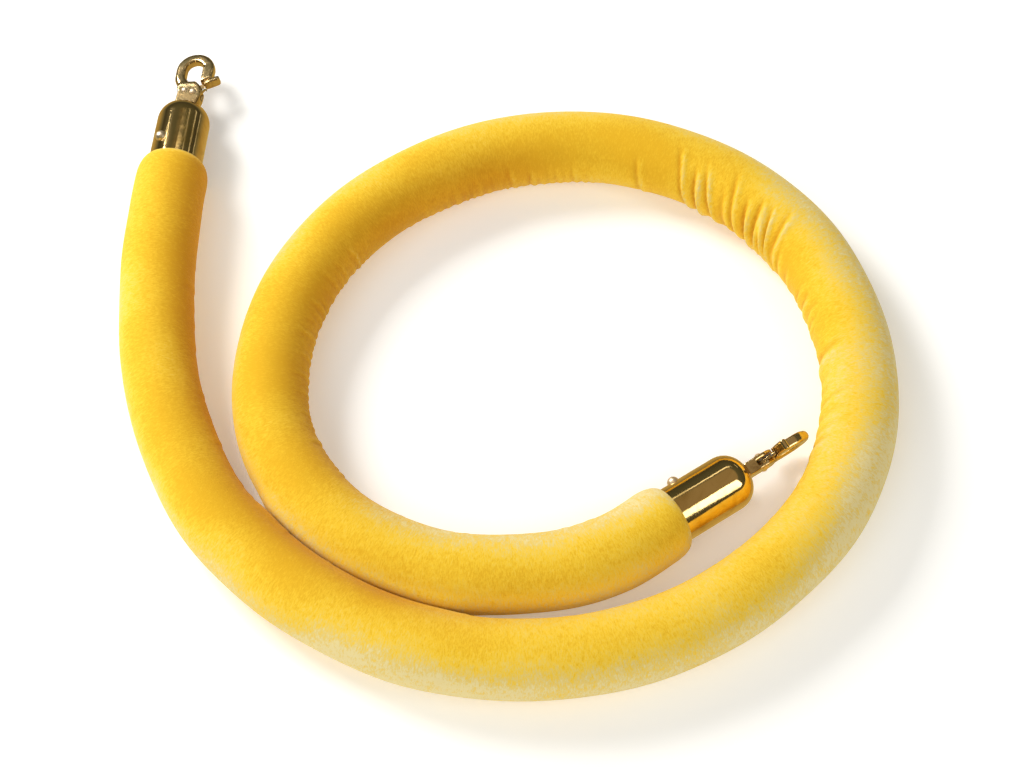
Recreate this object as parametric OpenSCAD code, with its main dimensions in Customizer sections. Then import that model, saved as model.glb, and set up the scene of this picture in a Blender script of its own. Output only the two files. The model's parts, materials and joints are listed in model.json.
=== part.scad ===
// Velvet barrier rope: a foam rope in a velvet sleeve, with a domed brass cap and a
// swivelling snap hook at each end. Millimetres, +Z up. The rope lies in a loose spiral on
// the plane z = 0, and the origin is at the middle of its footprint.
//
// Each end has its own frame: its z axis leaves the rope, and its z = 0 is the top of the
// cap's dome. A hook's x axis points to the side of its thumb lever.

/* [Rope] */
// Outer diameter of the velvet rope
rope_d = 38; // [36:0.5:39]
// Thickness of the velvet sleeve
velvet_t = 1; // [0.8:0.1:1.5]
// Diameter of the tension cord in the middle of the foam
cord_d = 4; // [3:0.5:5]

/* [End caps] */
// Outer diameter of a cap
cap_d = 28.5; // [27.5:0.5:28.5]
// Length of a cap, with its dome
cap_length = 60; // [59:1:61]
// Thickness of a cap's wall
cap_wall = 1.2; // [1:0.1:1.5]
// Height of the dome
dome_h = 11; // [9:0.5:12]
// Radius of the flat on top of the dome
dome_flat = 4.5; // [4:0.5:5]
// Length of cap A that stands out of the velvet
shown_a = 40.5; // [38:0.5:43]
// Length of cap B that stands out of the velvet
shown_b = 44; // [42:0.5:46]
// Distance of the cross rivet behind the top of dome A
rivet_back_a = 30; // [28:0.5:32]
// Distance of the cross rivet behind the top of dome B
rivet_back_b = 34.5; // [32:0.5:36]
// Turn of the cross rivet about the axis of cap A, in degrees
rivet_turn_a = 148; // [0:1:180]
// Turn of the cross rivet about the axis of cap B, in degrees
rivet_turn_b = 112; // [0:1:180]

/* [Snap hooks] */
// Turn of hook A about its swivel, in degrees
hook_turn_a = -98; // [-180:1:180]
// Turn of hook B about its swivel, in degrees
hook_turn_b = -167; // [-180:1:180]
// Length of the hook's neck, below its hub
neck = 3; // [1:0.5:3]
// Diameter of the swivel shank
shank_d = 6; // [5:0.5:7]
// Inner width of the eye
eye_w = 10; // [9:0.5:10.5]
// Height of the middle of the eye's round top above the dome
eye_top = 25.5; // [24:0.5:26]
// Straight length of the eye's sides
eye_straight = 5; // [4:0.5:6]
// Width of the bar that forms the hook
bar_w = 5.5; // [5:0.1:5.8]
// Thickness of the bar that forms the hook
bar_t = 4.6; // [4:0.1:5]
// Thickness of the forked hub
hub_t = 6.6; // [6:0.1:7]
// Width of the slot in the hub
slot_w = 3; // [2.8:0.1:3.2]
// Width of the thumb tab
tab_w = 5; // [4:0.5:6]

/* [Hidden] */
$fn = 64;

// The rope's centre line, from the mouth of the sleeve at end A to the mouth at end B.
route = [
    [-176, 113, 17.6], [-178, 82, 19], [-178, 42, 19], [-173, -8.5, 19], [-157.8, -59, 19],
    [-131, -104.6, 19], [-89, -141, 19], [-38, -165, 19], [19, -171, 19], [75, -160, 19],
    [124, -132, 19], [162.5, -89.4, 19], [180.6, -35, 19], [176, 22, 19], [151, 73, 19],
    [106.5, 109, 19], [53, 124.8, 19], [-3, 119.6, 19], [-54, 95, 19], [-93, 55, 19],
    [-113.6, 1.6, 19], [-110.2, -55, 19], [-79.4, -100.4, 19], [-31, -125, 19],
    [20, -127, 19], [54, -117.5, 19], [83.9, -97.3, 17.5]];
last = len(route) - 1;

// The ends, A then B.
shown = [shown_a, shown_b];
rivet_back = [rivet_back_a, rivet_back_b];
rivet_turn = [rivet_turn_a, rivet_turn_b];
hook_turn = [hook_turn_a, hook_turn_b];
mouth = [route[0], route[last]];
way_out = [unit(route[0] - route[1]), unit(route[last] - route[last - 1])];

// Sweeping the rope.
rope_sides = 12;
cord_sides = 8;
rings_per_span = 2;
lip_steps = [0, 2, 6, 12];      // distances of the end rings from the mouth
lip_drop = [3.6, 1.6, 0.4, 0];   // how far the sleeve is drawn in at each of them
lip_in = cap_d / 2 + 0.3 - (rope_d / 2 - velvet_t); // the turned-in edge, below the bore
foam_gap = 0.1;
pocket_r = cap_d / 2 + 1.1;     // the foam's pocket around a cap's skirt
cord_bore_r = 2.7;

// Fits and small parts.
cap_r = cap_d / 2;
shank_r = shank_d / 2;
running = 0.06;                 // radial clearance of a shaft that turns
apart = 0.3;                    // gap between pieces that pass each other
plug_start = 14;
plug_end = 74;
plug_gap = 0.05;
rivet_r = 1.6;
rivet_head_r = 3;
rivet_head_h = 2.6;
ferrule_r = 3.3;
ferrule_len = 8;
clamp_t = 0.7;
washer_r = 6;
washer_t = 1;
collar_r = 5;
collar_h = 3;
eye_r = eye_w / 2;
eye_x = 0.5;
pivot = [2.8, 7];
pin_r = 1.25;
pin_head_r = 2.1;
spring_rivet_at = [-2.2, 8.4];
spring_rivet_r = 1;
wire_t = 0.7;
coil_r = 1.95;
coil_y = -0.95;
spring_foot = [8.6, 10.9];
leg_rise = 0.25;                // keeps the spring's leg just clear of its rivet

function unit(v) = v / norm(v);
function heading(e) = atan2(way_out[e][1], way_out[e][0]);
function dip(e) = asin(-way_out[e][2]);

// A smooth curve through the route's points: its place and its direction.
function corner(i) = i < 0 ? 2 * route[0] - route[1]
    : i > last ? 2 * route[last] - route[last - 1] : route[i];
function place(i, t) = let (a = corner(i - 1), b = corner(i), c = corner(i + 1), d = corner(i + 2))
    0.5 * (2 * b + (c - a) * t + (2 * a - 5 * b + 4 * c - d) * t * t
        + (3 * b - a - 3 * c + d) * t * t * t);
function direction(i, t) = let (a = corner(i - 1), b = corner(i), c = corner(i + 1), d = corner(i + 2))
    unit((c - a) + 2 * (2 * a - 5 * b + 4 * c - d) * t + 3 * (3 * b - a - 3 * c + d) * t * t);

// Stations along the rope, each [place, direction, how far the sleeve is drawn in].
end_a = [for (k = [0:len(lip_steps) - 1])
    [mouth[0] - way_out[0] * lip_steps[k], -way_out[0], lip_drop[k]]];
middle = [for (i = [0:last - 1], k = [0:rings_per_span - 1]) if (i + k > 0)
    [place(i, k / rings_per_span), direction(i, k / rings_per_span), 0]];
end_b = [for (k = [len(lip_steps) - 1:-1:0])
    [mouth[1] - way_out[1] * lip_steps[k], way_out[1], lip_drop[k]]];
stations = concat(end_a, middle, end_b);
count = len(stations);

// One ring of points about a station, with its flats at the radius r.
function ring(s, r, sides) = let (
        t = s[1], side = unit(cross([0, 0, 1], t)), up = cross(t, side), out = r / cos(180 / sides))
    [for (k = [0:sides - 1]) let (a = 360 * (k + 0.5) / sides)
        s[0] + out * cos(a) * side + out * sin(a) * up];

// Faces of a stack of rings whose first ring follows on from its last, as on a hollow tube.
function wrapped(rings, sides) = [for (i = [0:rings - 1], k = [0:sides - 1])
    let (j = (i + 1) % rings, m = (k + 1) % sides)
    [i * sides + k, i * sides + m, j * sides + m, j * sides + k]];
// Faces of a stack of rings with a flat end at each end.
function capped(rings, sides) = concat(
    [[for (k = [sides - 1:-1:0]) k]],
    [for (i = [0:rings - 2], k = [0:sides - 1])
        let (m = (k + 1) % sides)
        [i * sides + k, i * sides + m, (i + 1) * sides + m, (i + 1) * sides + k]],
    [[for (k = [0:sides - 1]) (rings - 1) * sides + k]]);

// A hollow tube along some stations, with an outer and an inner radius at each.
module tube(at, outer, inner, sides) {
    n = len(at);
    points = concat(
        [for (i = [0:n - 1]) each ring(at[i], outer[i], sides)],
        [for (i = [n - 1:-1:0]) each ring(at[i], inner[i], sides)]);
    polyhedron(points, [for (f = wrapped(2 * n, sides)) [f[3], f[2], f[1], f[0]]]);
}

// A solid rod along some stations.
module rope_rod(at, r, sides) {
    points = [for (s = at) each ring(s, r, sides)];
    polyhedron(points, [for (f = capped(len(at), sides)) [for (k = [len(f) - 1:-1:0]) f[k]]]);
}

// A straight wire or rivet between two points.
module rod(p, q, r) {
    v = q - p;
    translate(p) rotate([0, acos(v[2] / norm(v)), atan2(v[1], v[0])]) cylinder(h = norm(v), r = r);
}

module at_end(e) {
    translate(mouth[e] + way_out[e] * shown[e]) rotate([0, 90 + dip(e), heading(e)]) children();
}

module at_hook(e) {
    at_end(e) rotate([0, 0, hook_turn[e]]) children();
}

// The hook's hub and all above it stand on the neck.
module at_hub(e) {
    at_hook(e) translate([0, 0, neck]) children();
}

// A shape drawn in the hook's own plane, x to the lever's side and y away from the cap.
module plate(t, y = 0) {
    translate([0, y, 0]) rotate([90, 0, 0]) linear_extrude(height = t, center = true) children();
}

module ring_band(r_in, r_out, z_low, z_high) {
    translate([0, 0, z_low]) difference() {
        cylinder(h = z_high - z_low, r = r_out);
        translate([0, 0, -1]) cylinder(h = z_high - z_low + 2, r = r_in);
    }
}

// The rope

module velvet_sleeve() {
    bore = rope_d / 2 - velvet_t;
    color("gold") tube(stations,
        [for (s = stations) rope_d / 2 - s[2]],
        [for (s = stations) bore + (s[2] > 1 ? lip_in : -s[2])], rope_sides);
}

module foam_core() {
    inside = [for (i = [2:count - 3]) stations[i]];
    n = len(inside);
    color("ivory") tube(inside,
        [for (s = inside) rope_d / 2 - velvet_t - foam_gap - s[2]],
        [for (i = [0:n - 1]) i < 4 || i > n - 5 ? pocket_r : cord_bore_r], rope_sides);
}

module tension_cord() {
    color("whitesmoke")
        rope_rod([for (i = [3:count - 4]) stations[i]], cord_d / 2, cord_sides);
}

// Each end, from the rope outwards

// Half of the cap's section between its outer and inner faces.
module cap_section() {
    steps = 10;
    function crown(inset) = [for (k = [0:steps]) let (a = 90 * k / steps)
        [dome_flat + (cap_r - dome_flat - inset) * cos(a), -dome_h + (dome_h - inset) * sin(a)]];
    inner = crown(cap_wall);
    polygon(concat(
        [[cap_r, -cap_length]], crown(0), [[shank_r + running, 0], [shank_r + running, -cap_wall]],
        [for (k = [steps:-1:0]) inner[k]], [[cap_r - cap_wall, -cap_length]]));
}

module rivet_hole(e) {
    translate([0, 0, -rivet_back[e]]) rotate([0, 90, rivet_turn[e]])
        cylinder(h = 2 * cap_d, r = rivet_r, center = true);
}

module end_cap(e) {
    color("goldenrod") at_end(e) difference() {
        rotate_extrude() cap_section();
        rivet_hole(e);
    }
}

// Turned wooden plug that fills the cap and reaches into the foam, bored for the cord.
module end_plug(e) {
    bore_start = shown[e] + lip_steps[3] - 0.5;
    color("burlywood") at_end(e) difference() {
        translate([0, 0, -plug_end])
            cylinder(h = plug_end - plug_start, r = cap_r - cap_wall - plug_gap);
        translate([0, 0, -plug_end - 1]) cylinder(h = plug_end + 1 - bore_start, r = ferrule_r);
        rivet_hole(e);
    }
}

// A low round head on a shaft that runs along x, at the distance reach from the middle.
module round_head(r, h, reach) {
    ball = (r * r + h * h) / (2 * h);
    translate([reach, 0, 0]) rotate([0, 90, 0]) intersection() {
        translate([0, 0, h - ball]) sphere(r = ball);
        cylinder(h = h, r = r);
    }
}

// A rivet across the cap, with its head on one side and its tail filed flush on the other.
module cap_rivet(e) {
    flush = 0.1;
    seat = sqrt(cap_r * cap_r - rivet_head_r * rivet_head_r);
    color("gold") at_end(e) translate([0, 0, -rivet_back[e]]) rotate([0, 0, rivet_turn[e]]) {
        translate([flush - cap_r, 0, 0]) rotate([0, 90, 0]) cylinder(h = 2 * cap_r - flush, r = rivet_r);
        difference() {
            round_head(rivet_head_r, rivet_head_h + cap_r - seat, seat);
            cylinder(h = 4 * rivet_head_r, r = cap_r, center = true);
        }
    }
}

// Band that grips the sleeve's turned-in edge to the skirt of the cap.
module sleeve_clamp(e) {
    color("silver") at_end(e)
        ring_band(cap_r, cap_r + clamp_t, -(shown[e] + 14), -(shown[e] + 8));
}

module cord_ferrule(e) {
    far = shown[e] + lip_steps[3];
    color("orange") at_end(e) ring_band(cord_d / 2 + 0.25, ferrule_r, -(far + ferrule_len), -far);
}

module swivel_washer(e) {
    top = cap_wall + 0.25;
    color("silver") at_end(e) ring_band(shank_r + running, washer_r, -(top + washer_t), -top);
}

module shank_collar(e) {
    top = cap_wall + 0.25 + washer_t + apart;
    color("darkgoldenrod") at_hook(e) ring_band(shank_r, collar_r, -(top + collar_h), -top);
}

// Section of the hook's bar: flat towards the eye, with its outer corners cut off.
module bar_section() {
    cut = 1.2;
    polygon([
        [0, -bar_t / 2], [bar_w - cut, -bar_t / 2], [bar_w, cut - bar_t / 2],
        [bar_w, bar_t / 2 - cut], [bar_w - cut, bar_t / 2], [0, bar_t / 2]]);
}

// A bend of the bar about the middle of a round of the eye, from one angle to another.
module bar_bend(z, from, to) {
    translate([eye_x, 0, z]) rotate([90, 0, 0])
        rotate_extrude(angle = to - from, start = from) translate([eye_r, 0]) bar_section();
}

module snap_hook(e) {
    low = eye_top - eye_straight;
    nose = [
        [5.5, 15.3], [5.5, 26], [7, 29.5], [9.3, 30.6], [10.8, 28.6], [11.6, 25], [11.2, 17.35]];
    hub = [
        [-5.4, apart - neck], [5.4, apart - neck], [6.6, 1.5], [7.1, 3], [7.3, 8.5], [5.6, 11.8],
        [3, 14.5], [-5, 14.5], [-7, 11.5], [-6.1, 7.5], [-6.4, 1.5]];
    web_gap = 1.6;
    color("gold") {
        at_hub(e) difference() {
            union() {
                plate(hub_t) polygon(hub);
                bar_bend(low, 180, 248);
                mirror([1, 0, 0]) translate([eye_r - eye_x, 0, low])
                    linear_extrude(height = eye_straight) bar_section();
                bar_bend(eye_top, 20, 180);
                plate(bar_t) polygon(nose);
            }
            // the eye, then the slot, then the way up for the lever
            translate([eye_x, 0, low]) rotate([90, 0, 0]) cylinder(h = 2 * hub_t, r = eye_r, center = true);
            translate([-4.2, -slot_w / 2, 3.2]) cube([16, slot_w, 8.6]);
            translate([web_gap, -slot_w / 2, 3.2]) cube([12, slot_w, 11.4]);
            for (p = [pivot, spring_rivet_at]) translate([p[0], 0, p[1]]) rotate([90, 0, 0])
                cylinder(h = 2 * hub_t, r = p == pivot ? pin_r : spring_rivet_r, center = true);
        }
        at_hook(e) translate([0, 0, -(cap_wall + 0.25 + washer_t + apart + collar_h)])
            cylinder(h = cap_wall + 0.25 + washer_t + 2 * apart + collar_h + 0.1, r = shank_r);
    }
}

module gate_lever(e) {
    half = slot_w / 2 - apart;
    web = [[0.6, 8.6], [5.4, 5.6], [9, 12.4], [8.2, 15], [5, 14], [3.4, 13.2], [2.2, 10.5]];
    tab = [[7.9, 12.6], [15.2, 15.9], [15.8, 16.8], [15.4, 18.4], [14.8, 18.4], [7.9, 15.45]];
    color("gold") at_hub(e) difference() {
        union() {
            translate([pivot[0], half, pivot[1]]) rotate([90, 0, 0])
                cylinder(h = half + 0.25, r = 2.9);
            plate(half + 0.25, (half - 0.25) / 2) polygon(web);
            plate(tab_w) polygon(tab);
        }
        translate([pivot[0], 0, pivot[1]]) rotate([90, 0, 0])
            cylinder(h = hub_t, r = pin_r + running, center = true);
    }
}

// A pin across the hub, with a round head on each side.
module cross_pin(at, r, head_r, head_h) {
    translate([at[0], 0, at[1]]) rotate([0, 0, 90]) {
        rotate([0, 90, 0]) cylinder(h = hub_t, r = r, center = true);
        for (side = [0, 180]) rotate([0, 0, side]) round_head(head_r, head_h, hub_t / 2);
    }
}

module gate_pin(e) {
    color("gold") at_hub(e) cross_pin(pivot, pin_r, pin_head_r, 1.3);
}

module spring_rivet(e) {
    color("gold") at_hub(e) cross_pin(spring_rivet_at, spring_rivet_r, 1.9, 1.1);
}

// Torsion spring of flat wire round the pin: one leg lies on the rivet, and the foot of the
// other is under the lever's web.
module gate_spring(e) {
    rest_z = spring_rivet_at[1] + spring_rivet_r + leg_rise;
    color("silver") at_hub(e) {
        plate(wire_t, coil_y) difference() {
            union() {
                translate(pivot) circle(r = coil_r + wire_t / 2);
                polygon([
                    [pivot[0], pivot[1] + coil_r - wire_t / 2], [pivot[0], pivot[1] + coil_r + wire_t / 2],
                    [-3.4, rest_z + wire_t], [-3.4, rest_z]]);
                polygon([
                    [pivot[0] + coil_r - wire_t / 2, pivot[1]], [pivot[0] + coil_r + wire_t / 2, pivot[1]],
                    [spring_foot[0] + wire_t, spring_foot[1]], spring_foot]);
            }
            translate(pivot) circle(r = coil_r - wire_t / 2);
        }
        translate([spring_foot[0], coil_y - wire_t / 2, spring_foot[1] - wire_t])
            cube([wire_t, 2.2, wire_t]);
    }
}

velvet_sleeve();
foam_core();
tension_cord();
for (e = [0, 1]) {
    letter = ["_a", "_b"][e];
    end_cap(e);
    end_plug(e);
    cap_rivet(e);
    sleeve_clamp(e);
    cord_ferrule(e);
    swivel_washer(e);
    shank_collar(e);
    snap_hook(e);
    gate_lever(e);
    gate_pin(e);
    gate_spring(e);
    spring_rivet(e);
}
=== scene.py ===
"""The looks of a velvet barrier rope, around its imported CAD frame. Metres, +Z up.

A place on the velvet is s, the distance along the rope from the mouth at end A, and an angle
round it in degrees: 0 is the inner side of the spiral, 90 the top, 180 the outer side and 270
the floor. Each end has its own frame: z leaves the rope, z = 0 is the top of the dome, and x
points to the side of the hook's thumb lever.
"""
import json
import math

import bmesh
import bpy
import numpy as np
from mathutils import Matrix, Vector


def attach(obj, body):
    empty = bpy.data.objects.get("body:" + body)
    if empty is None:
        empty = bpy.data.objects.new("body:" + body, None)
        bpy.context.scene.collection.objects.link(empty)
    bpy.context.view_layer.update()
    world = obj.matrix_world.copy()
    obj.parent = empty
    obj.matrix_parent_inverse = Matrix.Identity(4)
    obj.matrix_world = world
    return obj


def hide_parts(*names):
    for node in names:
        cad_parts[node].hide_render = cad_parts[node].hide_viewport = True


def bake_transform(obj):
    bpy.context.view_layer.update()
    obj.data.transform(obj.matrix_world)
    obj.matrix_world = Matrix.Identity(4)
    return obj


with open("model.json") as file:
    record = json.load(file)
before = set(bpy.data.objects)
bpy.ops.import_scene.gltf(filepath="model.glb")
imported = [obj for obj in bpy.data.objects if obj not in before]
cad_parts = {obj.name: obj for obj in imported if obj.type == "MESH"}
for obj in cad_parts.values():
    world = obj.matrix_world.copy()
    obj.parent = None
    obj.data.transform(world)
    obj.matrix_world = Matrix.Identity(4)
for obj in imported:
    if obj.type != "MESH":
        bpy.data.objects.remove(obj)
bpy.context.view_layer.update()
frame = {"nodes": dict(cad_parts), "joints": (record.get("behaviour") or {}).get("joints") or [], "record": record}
joints = {j["name"]: j for j in frame["joints"]}
MM = 0.001

# The rope, as the CAD source has it.
ROPE_RADIUS = 0.019
CAP_RADIUS = 0.01425
CORD_RADIUS = 0.002
ROUTE = np.array([
    (-176, 113, 17.6), (-178, 82, 19), (-178, 42, 19), (-173, -8.5, 19), (-157.8, -59, 19),
    (-131, -104.6, 19), (-89, -141, 19), (-38, -165, 19), (19, -171, 19), (75, -160, 19),
    (124, -132, 19), (162.5, -89.4, 19), (180.6, -35, 19), (176, 22, 19), (151, 73, 19),
    (106.5, 109, 19), (53, 124.8, 19), (-3, 119.6, 19), (-54, 95, 19), (-93, 55, 19),
    (-113.6, 1.6, 19), (-110.2, -55, 19), (-79.4, -100.4, 19), (-31, -125, 19),
    (20, -127, 19), (54, -117.5, 19), (83.9, -97.3, 17.5)]) * MM

# Thinner than its CAD node, to leave room for the velvet's creases.
FOAM_RADIUS = 0.0164

STEPS_PER_SPAN = 60
ROPE_RINGS = 960
ROPE_SIDES = 96
CORE_RINGS, CORE_SIDES = 460, 40
CORD_RINGS, CORD_SIDES = 900, 24

# About the middle of the shown length of each cap, which the lights aim at.
CAP_A = (-0.172, 0.133, 0.017)
CAP_B = (0.101, -0.083, 0.018)


# Camera, floor and light

def aim(thing, target):
    """Turns a camera or a light to face a point."""
    way = Vector(target) - thing.location
    thing.rotation_euler = way.to_track_quat("-Z", "Y").to_euler()


def make_camera():
    """A long lens that looks 60 degrees down on the rope, from the side of -Y."""
    lens = bpy.data.cameras.new("camera")
    lens.lens = 64.7
    lens.sensor_width = 36
    lens.clip_start = 0.01
    camera = bpy.data.objects.new("camera", lens)
    camera.location = (0.0064, -0.4868, 0.8207)
    camera.rotation_euler = (math.radians(30), 0, 0)
    bpy.context.scene.collection.objects.link(camera)
    bpy.context.scene.camera = camera


def area_light(name, place, size, power, colour=(1, 1, 1), target=(0, 0, 0.02), mirrored=True):
    """A soft box of a size in metres and a power in watts, aimed at target."""
    lamp = bpy.data.lights.new(name, "AREA")
    lamp.shape = "RECTANGLE"
    lamp.size, lamp.size_y = size
    lamp.energy = power
    lamp.color = colour
    light = bpy.data.objects.new(name, lamp)
    light.location = place
    light.visible_camera = False
    light.visible_glossy = mirrored
    bpy.context.scene.collection.objects.link(light)
    aim(light, target)


def make_stage():
    """The pale floor, the studio's even light and its soft boxes."""
    mesh = bpy.data.meshes.new("floor")
    reach = 4.0
    mesh.from_pydata([(x * reach, y * reach, 0) for x, y in ((-1, -1), (1, -1), (1, 1), (-1, 1))],
                     [], [(0, 1, 2, 3)])
    floor = bpy.data.objects.new("floor", mesh)
    bpy.context.scene.collection.objects.link(floor)
    finish = Shader("floor", Base_Color=(0.95, 0.95, 0.94, 1), Roughness=0.9,
                    Emission_Color=(1, 1, 1, 1), Emission_Strength=0.2)
    finish.socket("Specular IOR Level", 0.1)
    floor.data.materials.append(finish.material)
    floor.visible_glossy = False
    make_world()
    area_light("key", (-1.3, 0.95, 1.25), (0.8, 0.8), 36, (1, 0.985, 0.95))
    area_light("fill", (-0.9, -1.4, 1.4), (1.6, 1.6), 17, mirrored=False)
    # low soft boxes and strips that streak the polished caps, each in the direction a cap mirrors
    area_light("box_b", (0.94, -0.395, 0.81), (0.3, 0.6), 1.9, (1, 0.98, 0.90), CAP_B)
    area_light("line_b", (0.11, 0.78, 0.86), (0.4, 0.07), 0.13, (1, 0.93, 0.78), CAP_B)
    area_light("line_a", (0.71, 0.85, 0.45), (0.3, 0.05), 0.035, (1, 0.96, 0.85), CAP_A)
    area_light("line_a_mid", (0.40, 0.88, 0.80), (0.3, 0.03), 0.018, (1, 0.93, 0.8), CAP_A)
    area_light("line_a_low", (0.83, 0.81, 0.09), (0.2, 0.04), 0.018, (1, 0.96, 0.85), CAP_A)


def make_world():
    """Pale all round for soft light; the polished metal mirrors a darker room instead."""
    world = bpy.data.worlds.new("studio")
    bpy.context.scene.world = world
    world.use_nodes = True
    tree = world.node_tree
    tree.nodes.clear()
    place = tree.nodes.new("ShaderNodeTexCoord")
    split = tree.nodes.new("ShaderNodeSeparateXYZ")
    lift = tree.nodes.new("ShaderNodeMapRange")
    light, room = tree.nodes.new("ShaderNodeValToRGB"), tree.nodes.new("ShaderNodeValToRGB")
    rays = tree.nodes.new("ShaderNodeLightPath")
    either = tree.nodes.new("ShaderNodeMix")
    either.data_type = "RGBA"
    back = tree.nodes.new("ShaderNodeBackground")
    out = tree.nodes.new("ShaderNodeOutputWorld")
    lift.inputs["From Min"].default_value = -1
    tree.links.new(place.outputs["Generated"], split.inputs[0])
    tree.links.new(split.outputs["Z"], lift.inputs[0])
    tree.links.new(split.outputs["Z"], light.inputs[0])
    tree.links.new(lift.outputs[0], room.inputs[0])
    tree.links.new(rays.outputs["Is Glossy Ray"], either.inputs[0])
    tree.links.new(light.outputs[0], either.inputs[6])
    tree.links.new(room.outputs[0], either.inputs[7])
    tree.links.new(either.outputs[2], back.inputs[0])
    tree.links.new(back.outputs[0], out.inputs[0])
    # by the sine of the height over the horizon, from 0 to 1
    set_ramp(light, [(0.0, (0.92, 0.92, 0.92)), (0.10, (0.85, 0.85, 0.85)),
                     (0.24, (0.34, 0.33, 0.31)), (0.75, (0.30, 0.29, 0.27)),
                     (1.0, (0.40, 0.39, 0.37))])
    # by the same sine, where a ramp's 0 is -1, straight down, and its 0.5 is the horizon
    set_ramp(room, [(0.0, (0.62, 0.45, 0.14)), (0.30, (0.45, 0.33, 0.11)),
                    (0.44, (0.22, 0.19, 0.10)), (0.50, (0.13, 0.13, 0.09)),
                    (0.55, (0.055, 0.053, 0.035)), (0.86, (0.10, 0.10, 0.065)),
                    (0.90, (0.28, 0.22, 0.13)), (1.0, (0.30, 0.23, 0.14))])


# Node trees

def set_ramp(ramp, stops):
    """Gives a ColorRamp node its stops, each (position, (r, g, b))."""
    points = ramp.color_ramp.elements
    while len(points) > 1:
        points.remove(points[-1])
    points[0].position = stops[0][0]
    points[0].color = (*stops[0][1], 1)
    for position, colour in stops[1:]:
        points.new(position).color = (*colour, 1)


class Shader:
    """A material on one Principled shader. Keyword values set that shader's sockets."""

    def __init__(self, name, **values):
        self.material = bpy.data.materials.new(name)
        self.material.use_nodes = True
        self.tree = self.material.node_tree
        self.shader = self.tree.nodes["Principled BSDF"]
        for socket, value in values.items():
            self.socket(socket.replace("_", " "), value)

    def socket(self, name, value):
        self.shader.inputs[name].default_value = value

    def drive(self, name, output):
        self.tree.links.new(output, self.shader.inputs[name])

    def node(self, kind, inputs=(), **properties):
        """A new node. Its inputs, by name or number, are other nodes' outputs or constants."""
        node = self.tree.nodes.new("ShaderNode" + kind)
        for key, value in properties.items():
            setattr(node, key, value)
        for key, value in dict(inputs).items():
            if isinstance(value, bpy.types.NodeSocket):
                self.tree.links.new(value, node.inputs[key])
            else:
                node.inputs[key].default_value = value
        return node

    def attribute(self, name):
        return self.node("Attribute", attribute_name=name)

    def place(self):
        """The place in the model's own frame, in metres."""
        return self.node("TexCoord").outputs["Object"]

    def stretched(self, vector, scale):
        return self.node("Mapping", {"Vector": vector, "Scale": scale}).outputs[0]

    def noise(self, vector, scale, detail=3.0, roughness=0.55, distortion=0.0):
        return self.node("TexNoise", {"Vector": vector, "Scale": scale, "Detail": detail,
                                      "Roughness": roughness, "Distortion": distortion}).outputs[0]

    def math(self, operation, a, b=0.0, c=0.0):
        return self.node("Math", {0: a, 1: b, 2: c}, operation=operation).outputs[0]

    def between(self, value, low, high, to_low=0.0, to_high=1.0):
        """A smooth step from to_low to to_high, as the value goes from low to high."""
        return self.node("MapRange", {0: value, 1: low, 2: high, 3: to_low, 4: to_high},
                         interpolation_type="SMOOTHSTEP").outputs[0]

    def ramp(self, value, stops):
        node = self.node("ValToRGB", {0: value})
        set_ramp(node, stops)
        return node.outputs[0]

    def mix(self, share, a, b):
        """Colour a where share is 0, and b where it is 1."""
        node = self.node("Mix", data_type="RGBA")
        for key, value in ((0, share), (6, a), (7, b)):
            if isinstance(value, bpy.types.NodeSocket):
                self.tree.links.new(value, node.inputs[key])
            else:
                node.inputs[key].default_value = value if key == 0 else (*value, 1)
        return node.outputs[2]

    def bump(self, height, strength, distance, below=None):
        inputs = {"Height": height, "Strength": strength, "Distance": distance}
        if below is not None:
            inputs["Normal"] = below
        return self.node("Bump", inputs).outputs[0]


# Finishes

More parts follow.
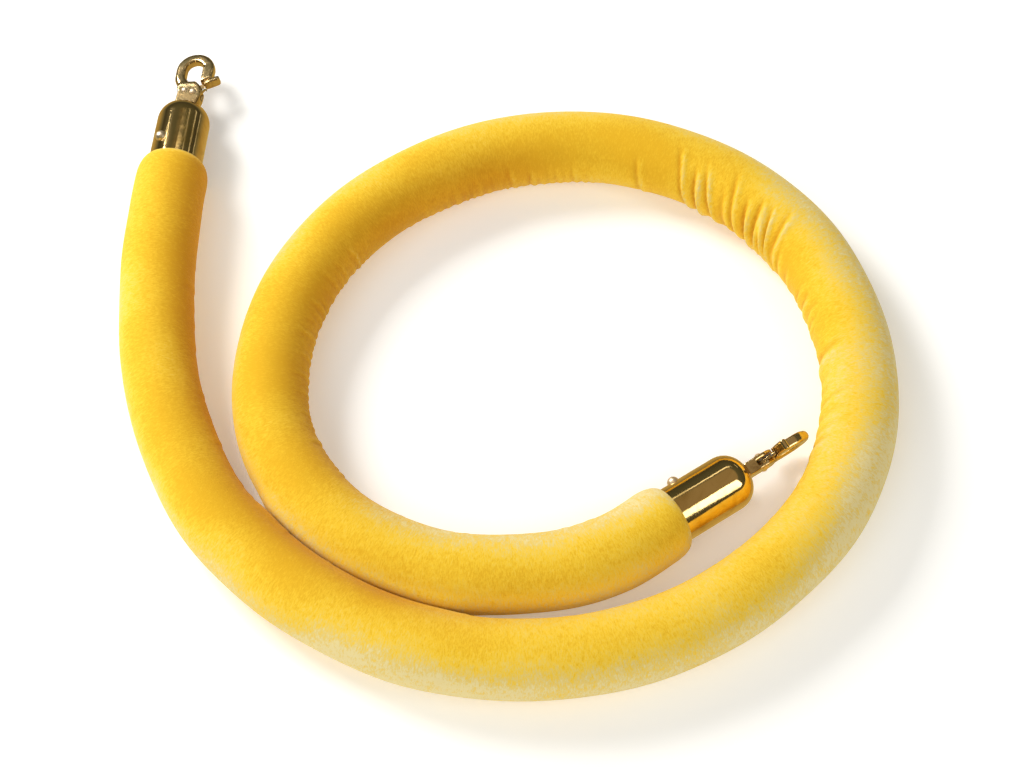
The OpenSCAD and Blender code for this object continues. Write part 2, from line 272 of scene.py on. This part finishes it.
def velvet_finish():
    """Golden pile: pale where the pile is crushed and where sheen and highlights are painted, and darker orange
    where shade is painted along the inner side and in the creases.
    """
    s = Shader("velvet", Roughness=0.95, Sheen_Weight=0.22, Sheen_Roughness=0.4,
               Sheen_Tint=(1, 0.88, 0.58, 1))
    s.socket("Specular IOR Level", 0.1)
    straight = s.attribute("straight").outputs["Vector"]
    nap_and_sheen = s.attribute("nap_and_sheen").outputs["Fac"]
    shade = s.attribute("shade").outputs["Fac"]
    # patches about 2 cm wide, a mottle of a few millimetres, and single tufts
    patches = s.noise(s.stretched(straight, (0.6, 1, 1)), 58, 3.0, 0.6, 0.6)
    mottle = s.noise(s.stretched(straight, (1.3, 0.8, 0.8)), 260, 4.0, 0.75, 0.4)
    grain = s.noise(s.stretched(straight, (1.9, 0.5, 0.5)), 850, 3.0, 0.75)
    blotch = s.math("SUBTRACT", patches, 0.5)
    cloud = s.math("MULTIPLY", s.math("SUBTRACT", mottle, 0.5), 2.0)
    crushed = s.math("ADD", blotch, cloud)
    # pile that is pale, from crushing and from painted sheen, shows its crushing and its tufts more than darker
    # pile does
    unrest = s.math("MULTIPLY_ADD", nap_and_sheen, 0.85, 0.10)
    tufts = s.math("MULTIPLY_ADD", nap_and_sheen, 1.5, 0.85)
    lean = s.math("MULTIPLY_ADD", crushed, unrest, nap_and_sheen)
    lean = s.math("MULTIPLY_ADD", s.math("SUBTRACT", grain, 0.5), tufts, lean)
    # from dark orange to a pale khaki, which stands for crushed pile and for painted sheen
    gold = s.ramp(lean, [(0.0, (0.82, 0.47, 0.022)), (0.25, (0.92, 0.60, 0.040)),
                         (0.50, (0.88, 0.62, 0.10)), (0.75, (0.81, 0.62, 0.20)),
                         (1.0, (0.83, 0.69, 0.33))])
    # a painted-shade copy of the same colours, darker and more orange, which the shade attribute mixes in
    painted_shade_gold = s.ramp(lean, [(0.0, (0.62, 0.27, 0.010)), (0.4, (0.76, 0.40, 0.020)),
                         (1.0, (0.82, 0.62, 0.22))])
    s.drive("Base Color", s.mix(shade, gold, painted_shade_gold))
    pile = s.noise(s.stretched(straight, (1, 1.5, 1.5)), 1500, 2.0, 0.8)
    height = s.math("MULTIPLY_ADD", mottle, 1.2, pile)
    s.drive("Normal", s.bump(height, 0.6, 0.0005))
    return s.material


def gold_finish(name, colour, tarnish, roughness, wave):
    """Polished gold plate, with faint tarnish, wipe marks and uneven polish."""
    s = Shader(name, Metallic=1.0)
    where = s.place()
    cloud = s.noise(where, 85, 4.0, 0.6, 0.6)
    fine = s.noise(where, 900, 3.0, 0.7)
    s.drive("Base Color", s.mix(s.between(cloud, 0.42, 0.75), colour, tarnish))
    s.drive("Roughness", s.math("ADD", s.between(cloud, 0.35, 0.8, roughness, roughness * 2.2),
                                s.math("MULTIPLY", fine, roughness * 0.5)))
    dents = s.noise(where, 120, 2.0, 0.5)
    s.drive("Normal", s.bump(fine, 0.06, 0.0001, s.bump(dents, wave, 0.0006)))
    return s.material


def foam_finish():
    s = Shader("foam", Roughness=1.0)
    where = s.place()
    cells = s.node("TexVoronoi", {"Vector": where, "Scale": 900}).outputs["Distance"]
    s.drive("Base Color", s.ramp(cells, [(0.0, (0.62, 0.55, 0.38)), (0.5, (0.86, 0.81, 0.64)),
                                         (1.0, (0.93, 0.9, 0.78))]))
    s.drive("Normal", s.bump(cells, 0.5, 0.0006))
    return s.material


def cord_finish():
    s = Shader("cord", Roughness=0.85)
    where = s.place()
    fibre = s.noise(where, 1600, 3.0, 0.7)
    s.drive("Base Color", s.ramp(fibre, [(0.2, (0.66, 0.64, 0.58)), (0.8, (0.93, 0.92, 0.88))]))
    s.drive("Normal", s.bump(fibre, 0.4, 0.0002))
    return s.material


def wood_finish():
    s = Shader("plug_wood", Roughness=0.6)
    where = s.place()
    rings = s.node("TexWave", {"Vector": where, "Scale": 130, "Distortion": 5,
                               "Detail": 3}).outputs[0]
    grain = s.noise(s.stretched(where, (1, 1, 0.2)), 700, 3.0, 0.6)
    tone = s.math("MULTIPLY_ADD", grain, 0.4, s.math("MULTIPLY", rings, 0.6))
    s.drive("Base Color", s.ramp(tone, [(0.2, (0.46, 0.29, 0.14)), (0.8, (0.72, 0.53, 0.32))]))
    s.drive("Normal", s.bump(grain, 0.25, 0.0002))
    return s.material


def steel_finish():
    s = Shader("steel", Metallic=1.0)
    where = s.place()
    scratches = s.noise(s.stretched(where, (1, 1, 12)), 500, 3.0, 0.7)
    s.drive("Base Color", s.ramp(scratches, [(0.2, (0.42, 0.42, 0.42)), (0.8, (0.66, 0.65, 0.63))]))
    s.drive("Roughness", s.between(scratches, 0.2, 0.8, 0.25, 0.45))
    s.drive("Normal", s.bump(scratches, 0.15, 0.0001))
    return s.material


# The rope's surface

def centre_line():
    """The CAD route's curve as dense points, and the length up to each."""
    ends = [2 * ROUTE[0] - ROUTE[1], 2 * ROUTE[-1] - ROUTE[-2]]
    corners = np.vstack([ends[0], ROUTE, ends[1]])
    t = (np.arange(STEPS_PER_SPAN) / STEPS_PER_SPAN)[:, None]
    spans = []
    for i in range(len(ROUTE) - 1):
        a, b, c, d = corners[i:i + 4]
        spans.append(0.5 * (2 * b + (c - a) * t + (2 * a - 5 * b + 4 * c - d) * t ** 2
                            + (3 * b - a - 3 * c + d) * t ** 3))
    points = np.vstack([*spans, ROUTE[-1:]])
    lengths = np.concatenate([[0], np.cumsum(np.linalg.norm(np.diff(points, axis=0), axis=1))])
    return points, lengths


line, line_s = centre_line()
ROPE_LENGTH = float(line_s[-1])


def unit(v):
    return v / np.linalg.norm(v, axis=-1, keepdims=True)


def along_rope(s):
    """Places, directions, inward and upward sides at the distances s. Past a mouth, straight on."""
    inside = np.clip(s, 0, ROPE_LENGTH)
    steps = np.gradient(line, line_s, axis=0)
    place = np.stack([np.interp(inside, line_s, line[:, k]) for k in range(3)], axis=-1)
    way = unit(np.stack([np.interp(inside, line_s, steps[:, k]) for k in range(3)], axis=-1))
    place = place + way * (s - inside)[:, None]
    side = unit(np.cross((0, 0, 1), way))
    return place, way, side, np.cross(way, side)


def smooth(x, low, high):
    """0 below low, 1 above high, and a smooth step between them."""
    t = np.clip((x - low) / (high - low), 0, 1)
    return t * t * (3 - 2 * t)


def window(x, low, high, edge):
    """1 between low and high, fading to 0 over edge on both sides."""
    return smooth(x, low - edge, low) * (1 - smooth(x, high, high + edge))


def off_angle(angle, middle):
    """How far an angle is from the middle, in degrees, from -180 to 180."""
    return (angle - middle + 180) % 360 - 180


def ripples(s, angle, scale, seed, waves=14):
    """Smooth random field of about -1 to 1 on the velvet, with features about scale metres wide."""
    random = np.random.default_rng(seed)
    a = np.radians(angle)
    total = np.zeros(np.broadcast(s, angle).shape)
    turns = 2 * math.pi * ROPE_RADIUS / scale
    for _ in range(waves):
        heading = random.uniform(0, 2 * math.pi)
        around = round(turns * math.sin(heading))
        total += np.cos(2 * math.pi * s * math.cos(heading) / scale + around * a
                        + random.uniform(0, 2 * math.pi))
    return total / math.sqrt(waves) * 0.8


def fold(s, angle, at, low, high, height, width, lean):
    """A soft ridge with a crease beside it, across the velvet between two angles."""
    crease_depth, crease_at, crease_sharpness = 0.75, 1.45, 1.25
    span = off_angle(angle, 0)
    middle = at + lean * np.radians(span) * ROPE_RADIUS
    u = (s - middle) / width
    weight = smooth(span, low - 30, low + 8) * (1 - smooth(span, high - 45, high))
    crease = crease_depth * np.exp(-((u - crease_at) * crease_sharpness) ** 2)
    return height * weight * (np.exp(-u * u) - crease)


def folds(s, angle):
    """Height of the folds and puckers that the bends press into the inner side."""
    random = np.random.default_rng(5)
    height = np.zeros(s.shape)
    fade = 0.02
    groups = [
        # from, to, spacing, low and high angle, height in millimetres, width, lean
        (0.712, 0.810, 0.0080, -35, 86, 1.80, 0.0018, 0.38),
        (0.812, 0.840, 0.0140, -35, 76, 1.40, 0.0018, 0.30),
        (0.655, 0.745, 0.0070, -40, 40, 0.90, 0.0016, 0.20),
        (0.575, 0.665, 0.0105, -35, 72, 0.75, 0.0026, 0.30),
        (0.845, 0.985, 0.0052, -40, 28, 0.60, 0.0014, 0.15),
        (1.00, 1.205, 0.0056, -40, 48, 0.60, 0.0014, 0.15),
        (0.05, 0.30, 0.0140, -40, 40, 0.30, 0.0022, 0.10),
        (1.205, 1.345, 0.0110, -40, 34, 0.40, 0.0018, 0.10),
        (0.32, 0.59, 0.0130, -50, 24, 0.40, 0.0020, 0.10)]
    for start, end, spacing, low, high, tall, width, lean in groups:
        at = start
        while at < end:
            edge = window(np.array(at), start + fade, end - fade, fade)
            size = float(edge) * random.uniform(0.35, 1.25)
            near = np.abs(s[:, 0] - at) < 0.03      # a fold's whole reach along the rope
            height[near] += fold(s[near], angle[near], at, low + random.uniform(-8, 8),
                                 high + random.uniform(-26, 16), tall * size * MM,
                                 width * random.uniform(0.8, 1.25),
                                 lean * random.uniform(0.6, 1.3))
            at += spacing * random.uniform(0.65, 1.4)
    return height


def pressed(centres, sides, s, angle):
    """How far the velvet bulges, or gives way, towards another strand that lies against it."""
    same_strand = 0.15                  # closer than this along the rope, it is the same strand
    flat_to, round_from = 0.12, 0.62    # radians off the line between the strands
    touching, apart = 0.0405, 0.0425    # distances between the strands' middles
    flat = centres[:, :2]
    gap = np.linalg.norm(flat[:, None] - flat[None], axis=2)
    gap[np.abs(s[:, :1] - s[:, 0][None]) < same_strand] = 1
    nearest = gap.argmin(axis=1)
    distance = gap[np.arange(len(flat)), nearest]
    towards = unit(flat[nearest] - flat)
    turned = np.sign((towards * sides[:, :2]).sum(axis=1))
    off = np.radians(off_angle(angle, np.where(turned > 0, 0, 180)[:, None]))
    half = distance / 2 - 0.0001
    reach = half[:, None] / np.cos(np.clip(off, -1, 1))
    close = 1 - smooth(distance, touching, apart)
    weight = (1 - smooth(np.abs(off), flat_to, round_from)) * close[:, None]
    return weight * (reach - ROPE_RADIUS)


def mouth_profile():
    """The velvet's tucked-in end, from the cap's gap out to the full rope: (s, radius) pairs."""
    lip = 0.0008        # radius of the turned-in edge
    crown = 0.0105      # length over which the rope reaches its full thickness
    bore = CAP_RADIUS + 0.0001
    tuck = [(x * MM, bore) for x in (7, 4.5, 2.5, 1.5)]
    turn = [(lip - lip * math.sin(a), bore + lip - lip * math.cos(a))
            for a in np.radians((0, 25, 50, 75))]
    base = bore + lip
    dome = [(crown - crown * math.cos(a), base + (ROPE_RADIUS - base) * math.sin(a))
            for a in np.radians(np.linspace(0, 84, 15))]
    return tuck + turn + dome


def velvet_rings():
    """The distance along the rope and the radius of each ring of the velvet."""
    profile = mouth_profile()
    start = profile[-1][0] + 0.0012
    body = np.linspace(start, ROPE_LENGTH - start, ROPE_RINGS)
    rings = profile + [(float(x), ROPE_RADIUS) for x in body]
    rings += [(ROPE_LENGTH - x, r) for x, r in reversed(profile)]
    return np.array(rings)


def tube_mesh(name, grid, closed_ends=False):
    """A tube's mesh through a grid of points, one row for each ring."""
    rows, sides = grid.shape[:2]
    i, k = np.meshgrid(np.arange(rows - 1), np.arange(sides), indexing="ij")
    m = (k + 1) % sides
    faces = np.stack([i * sides + k, i * sides + m, (i + 1) * sides + m, (i + 1) * sides + k], -1)
    faces = faces.reshape(-1, 4).tolist()
    if closed_ends:
        faces += [list(range(sides - 1, -1, -1)), list(range((rows - 1) * sides, rows * sides))]
    mesh = bpy.data.meshes.new(name)
    mesh.from_pydata(grid.reshape(-1, 3).tolist(), [], faces)
    mesh.shade_smooth()
    piece = bpy.data.objects.new(name, mesh)
    bpy.context.scene.collection.objects.link(piece)
    return piece


def store(piece, name, values, kind="FLOAT"):
    attribute = piece.data.attributes.new(name, kind, "POINT")
    key = "vector" if kind == "FLOAT_VECTOR" else "value"
    attribute.data.foreach_set(key, np.ascontiguousarray(values, dtype=np.float32).ravel())


def nap_and_sheen_field(s, angle):
    """From 0 to 1, how pale the pile is: crushed pile at random, and painted sheen in the listed zones along outer
    sides and edges.
    """
    zones = [
        # each zone is painted sheen, pale where the pile catches the light
        # from, to, edge, middle angle, reach in degrees, strength
        (0.57, 0.79, 0.05, 168, 50, 0.85),
        (0.33, 0.57, 0.06, 178, 64, 0.78),
        (0.10, 0.34, 0.05, 180, 34, 0.55),
        (0.88, 1.02, 0.05, 150, 40, 0.50),
        (1.05, 1.20, 0.05, 170, 30, 0.30),
        (1.23, 1.371, 0.05, 40, 42, 0.70),
        (1.20, 1.371, 0.05, 180, 42, 0.50),
        (0.36, 0.64, 0.05, 45, 34, 0.26),
        (0.58, 0.74, 0.04, 105, 36, 0.30)]
    # a painted highlight pales the velvet at the rims of both mouths
    resting, mouth_highlight = 0.10, 0.35
    total = np.full(s.shape, resting)
    for start, end, edge, middle, reach, strength in zones:
        away = np.abs(off_angle(angle, middle)) / reach
        total = total + strength * window(s, start, end, edge) * np.exp(-away ** 2)
    total += 0.12 * ripples(s, angle, 0.05, 21)
    ends = np.minimum(s, ROPE_LENGTH - s)
    return np.clip(total + mouth_highlight * (1 - smooth(ends, 0.0, 0.006)), 0, 1)


def shade_field(s, angle):
    """From 0 to 1, painted shade: how much darker and more orange the colour is painted along the inner side."""
    inner = np.exp(-(off_angle(angle, 12) / 52) ** 2)
    weight = 0.9 * (window(s, 0.0, 0.32, 0.10) + window(s, 0.93, 1.20, 0.07))
    return np.clip(0.06 + inner * np.clip(weight, 0, 0.9), 0, 1)


def make_velvet(finish):
    """The velvet sleeve, with its folds and its flats, and its painted shade, painted sheen and painted
    highlights.
    """
    unevenness = 0.00022
    # fold ridges get a painted highlight and fold creases a painted shade
    ridge_highlight, crease_depth = 0.45, 1.3        # for each millimetre of relief
    rings = velvet_rings()
    angles = (np.arange(ROPE_SIDES) + 0.5) * 360 / ROPE_SIDES
    s, angle = np.meshgrid(rings[:, 0], angles, indexing="ij")
    centre, way, side, up = along_rope(rings[:, 0])
    full = smooth(np.minimum(s, ROPE_LENGTH - s), 0.001, 0.02)
    relief = folds(s, angle)
    radius = rings[:, 1][:, None] + full * (
        unevenness * ripples(s, angle, 0.055, 3) + relief + pressed(centre, side, s, angle))
    a = np.radians(angle)[..., None]
    outward = np.cos(a) * side[:, None] + np.sin(a) * up[:, None]
    grid = centre[:, None] + radius[..., None] * outward
    grid[..., 2] = settled(grid[..., 2])
    velvet = tube_mesh("velvet", grid)
    ridges, creases = np.clip(relief / MM, 0, 1), -np.minimum(relief / MM, 0)
    # ridges add their painted highlight to the pile's paleness, creases their painted shade to the shade
    store(velvet, "nap_and_sheen", nap_and_sheen_field(s, angle) + ridge_highlight * ridges)
    store(velvet, "shade", np.clip(shade_field(s, angle) + crease_depth * creases, 0, 1))
    straight = np.stack([s, radius * np.cos(a[..., 0]), radius * np.sin(a[..., 0])], axis=-1)
    store(velvet, "straight", straight, "FLOAT_VECTOR")
    velvet.data.materials.append(finish)
    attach(velvet, "rope")
    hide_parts("velvet_sleeve")
    path = centre[(rings[:, 0] > 0) & (rings[:, 0] < ROPE_LENGTH)]
    path = np.vstack([ROUTE[:1], path[len(mouth_profile()) // 2::4], ROUTE[-1:]])


def make_inside(foam, cord):
    """The foam core, with the tension cord along its middle."""
    reach = 0.012       # how far both stop short of the mouths
    s = np.linspace(reach, ROPE_LENGTH - reach, CORE_RINGS)
    angles = np.radians(np.arange(CORE_SIDES) * 360 / CORE_SIDES)
    centre, way, side, up = along_rope(s)
    ring = np.cos(angles)[:, None] * side[:, None] + np.sin(angles)[:, None] * up[:, None]
    core = tube_mesh("core", centre[:, None] + FOAM_RADIUS * ring, closed_ends=True)
    finish_inside(core, foam, "foam_core")
    strands, pitch, groove = 6, 0.016, 0.1
    s = np.linspace(reach, ROPE_LENGTH - reach, CORD_RINGS)
    centre, way, side, up = along_rope(s)
    angle = np.arange(CORD_SIDES) * 2 * math.pi / CORD_SIDES
    twist = s[:, None] / pitch * 2 * math.pi
    bulge = np.abs(np.cos(strands / 2 * (angle[None] + twist)))
    radius = CORD_RADIUS * (1 - groove + groove * bulge)
    ring = np.cos(angle)[:, None] * side[:, None] + np.sin(angle)[:, None] * up[:, None]
    braid = tube_mesh("cord", centre[:, None] + radius[..., None] * ring, closed_ends=True)
    finish_inside(braid, cord, "tension_cord")


def finish_inside(piece, finish, node):
    piece.data.materials.append(finish)
    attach(piece, "rope")
    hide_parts(node)


def settled(z):
    """Heights after the rope has sunk a little into its own flat on the floor."""
    sink = 0.0006
    soft = 0.0007
    low = z - sink
    return np.where(low < soft, soft * np.exp(np.minimum(low - soft, 0) / soft), low)


# Turned and cast metal

def end_frame(letter):
    """The matrix of an end's own frame."""
    swivel, gate = joints[f"hook_{letter}_swivel"], joints[f"gate_{letter}_hinge"]
    z, y = Vector(swivel["axis"]), Vector(gate["axis"])
    turn = Matrix((y.cross(z), y, z)).transposed().to_4x4()
    return Matrix.Translation(swivel["pos_m"]) @ turn


def new_piece(name, mesh, finish, body, slot, *nodes):
    """A mesh as a piece that stands for CAD nodes of one body."""
    piece = bpy.data.objects.new(name, mesh)
    bpy.context.scene.collection.objects.link(piece)
    mesh.materials.clear()
    mesh.materials.append(finish)
    mesh.shade_smooth()
    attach(piece, body)
    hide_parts(*nodes)
    return piece


def lathe(name, profile, segments, matrix):
    """A mesh turned about z from (radius, z) pairs in millimetres, closed from last to first."""
    count = len(profile)
    points = [matrix @ Vector((r * math.cos(a) * MM, r * math.sin(a) * MM, z * MM))
              for a in (2 * math.pi * k / segments for k in range(segments)) for r, z in profile]
    faces = [(k * count + i, (k + 1) % segments * count + i,
              (k + 1) % segments * count + (i + 1) % count, k * count + (i + 1) % count)
             for k in range(segments) for i in range(count)]
    mesh = bpy.data.meshes.new(name)
    mesh.from_pydata(points, [], faces)
    return mesh


def cap_profile():
    """A drawn cap: its skirt, its shouldered dome, the rolled edge of its hole, and its inside."""
    wall, top, flat, length, hole = 1.2, 11, 4.5, 60, 3.12
    out = CAP_RADIUS / MM
    steps = np.radians(np.linspace(0, 90, 25))
    outer = [(flat + (out - flat) * math.cos(a), -top + top * math.sin(a)) for a in steps]
    inner = [(flat + (out - wall - flat) * math.cos(a), -top + (top - wall) * math.sin(a))
             for a in steps[::-1]]
    edge = [(hole + 0.25, -0.02), (hole + 0.06, -0.12), (hole, -0.32), (hole, -wall)]
    skirt = [(out, z) for z in (-length, -length + 4, -40, -30, -20, -top - 0.6)]
    return skirt + outer + edge + inner + [(out - wall, -length)]


def make_cap(letter, finish):
    mesh = lathe(f"cap_{letter}", cap_profile(), 128, end_frame(letter))
    new_piece(f"cap_{letter}", mesh, finish, "rope", "polished_brass", f"end_cap_{letter}")


def casting(name, node, letter, finish, body, voxel, axis, bar_from, hub_share):
    """A CAD casting worn round, in its bar fully and in its hub by hub_share.

    The bar is past bar_from millimetres along an axis, 0 to 2, of the end's own frame.
    """
    fade = 3
    passes = 140
    kept = 0.32 * MM        # swelling that makes up for what the rounding takes off
    mesh = frame["nodes"][node].data.copy()
    piece = new_piece(name, mesh, finish, body, "cast_brass", node)
    shape = bmesh.new()
    shape.from_mesh(mesh)
    bmesh.ops.remove_doubles(shape, verts=shape.verts, dist=1e-6)
    shape.to_mesh(mesh)
    shape.free()
    remesh = piece.modifiers.new("remesh", "REMESH")
    remesh.mode = "VOXEL"
    remesh.voxel_size = voxel
    remesh.use_smooth_shade = True
    bake_modifiers(piece)
    back = end_frame(letter).inverted()
    group = piece.vertex_groups.new(name="round")
    for vertex in piece.data.vertices:
        bar = float(smooth((back @ vertex.co)[axis] / MM, bar_from, bar_from + fade))
        group.add([vertex.index], hub_share + (1 - hub_share) * bar, "REPLACE")
    relax = piece.modifiers.new("relax", "SMOOTH")
    relax.factor = 0.5
    relax.iterations = passes
    relax.vertex_group = "round"
    swell = piece.modifiers.new("swell", "DISPLACE")
    swell.strength = kept
    swell.mid_level = 0
    swell.vertex_group = "round"
    bake_modifiers(piece)


def make_spring(letter):
    """A gate's spring, with its coil and both legs, copied whole from its CAD node."""
    node = f"gate_spring_{letter}"
    piece = bpy.data.objects.new(f"spring_{letter}", frame["nodes"][node].data.copy())
    bpy.context.scene.collection.objects.link(piece)
    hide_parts(node)
    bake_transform(piece)


def bake_modifiers(piece):
    """Replaces a piece's mesh by what its modifiers make of it."""
    bpy.context.view_layer.update()
    evaluated = piece.evaluated_get(bpy.context.evaluated_depsgraph_get())
    made = bpy.data.meshes.new_from_object(evaluated)
    made.name = piece.name
    piece.modifiers.clear()
    piece.data = made
    made.shade_smooth()


# Everything

make_camera()
velvet = velvet_finish()
make_velvet(velvet)
make_stage()
polished = gold_finish("polished_gold", (0.87, 0.62, 0.27), (0.70, 0.47, 0.17), 0.06, 0.12)
cast = gold_finish("cast_gold", (0.82, 0.62, 0.32), (0.46, 0.30, 0.13), 0.12, 0.22)
satin = gold_finish("satin_gold", (0.97, 0.84, 0.66), (0.90, 0.70, 0.48), 0.30, 0.10)
foam, cord = foam_finish(), cord_finish()
make_inside(foam, cord)
FINISHES = {"velvet": velvet, "foam": foam, "cord": cord, "polished_brass": polished,
            "cast_brass": cast, "plug_wood": wood_finish(), "steel": steel_finish()}
for part in frame["record"]["subparts"]:
    node = frame["nodes"][part["node"]]
    node.data.materials.clear()
    riveted = part["node"].startswith(("cap_rivet", "gate_pin", "spring_rivet"))
    node.data.materials.append(satin if riveted else FINISHES[part["material_slot"]])
for letter in "ab":
    make_cap(letter, polished)
    casting(f"hook_{letter}", f"snap_hook_{letter}", letter, cast, f"hook_{letter}",
            voxel=0.2 * MM, axis=2, bar_from=13, hub_share=0.5)
    casting(f"lever_{letter}", f"gate_lever_{letter}", letter, cast, f"gate_{letter}",
            voxel=0.15 * MM, axis=0, bar_from=8, hub_share=0)
    make_spring(letter)

bpy.context.scene.view_settings.view_transform = "Standard"
